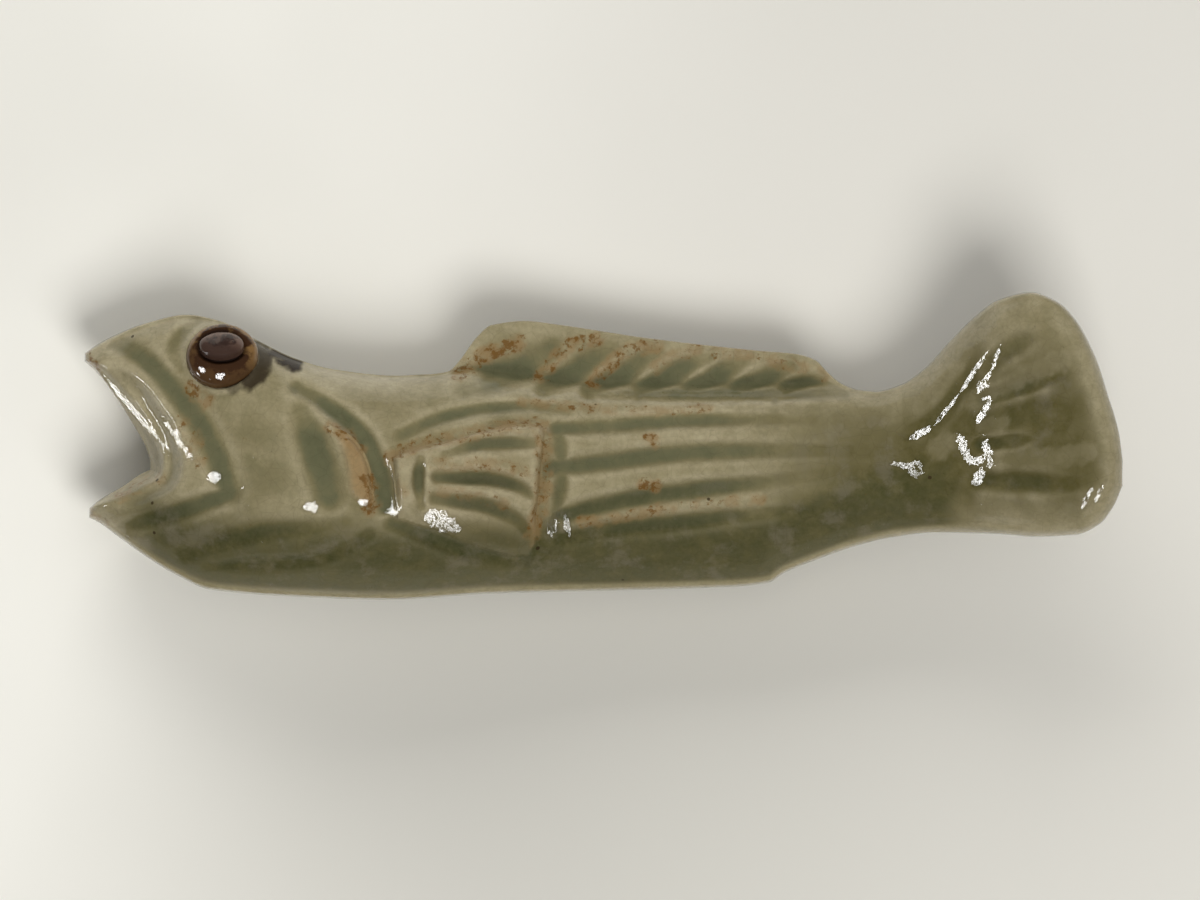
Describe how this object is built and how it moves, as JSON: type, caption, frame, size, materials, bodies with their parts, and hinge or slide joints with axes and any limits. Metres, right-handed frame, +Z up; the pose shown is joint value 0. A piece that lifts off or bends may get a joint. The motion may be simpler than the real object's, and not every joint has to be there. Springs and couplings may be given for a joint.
{
  "type": "chopstick rest",
  "caption": "Fish-shaped chopstick rest in green ash-glazed stoneware, lying on its side with an open mouth, a dipped flank for the chopsticks and a flat wiped foot.",
  "frame": {"origin": "on the table, under the middle of the fish's bounding box", "axes": "+X from the snout to the tail, +Y from the belly to the back, +Z up, out of the side that shows"},
  "size_m": [0.09, 0.0262, 0.0162],
  "materials": {
    "celadon_glaze": "glossy translucent ash glaze, green where it pools",
    "olive_glaze": "glossy olive glaze",
    "rust_edged_glaze": "glossy glaze that breaks to rust on raised edges",
    "iron_glaze": "glossy amber-brown iron glaze",
    "plum_glaze": "glossy purple-brown iron glaze"
  },
  "bodies": {
    "root": {"fish_body": "celadon_glaze", "dorsal_fin": "celadon_glaze", "tail_fin": "olive_glaze", "pectoral_fin": "rust_edged_glaze", "gill_cover": "rust_edged_glaze", "eyeball": "iron_glaze", "pupil": "plum_glaze"}
  },
  "joints": []
}
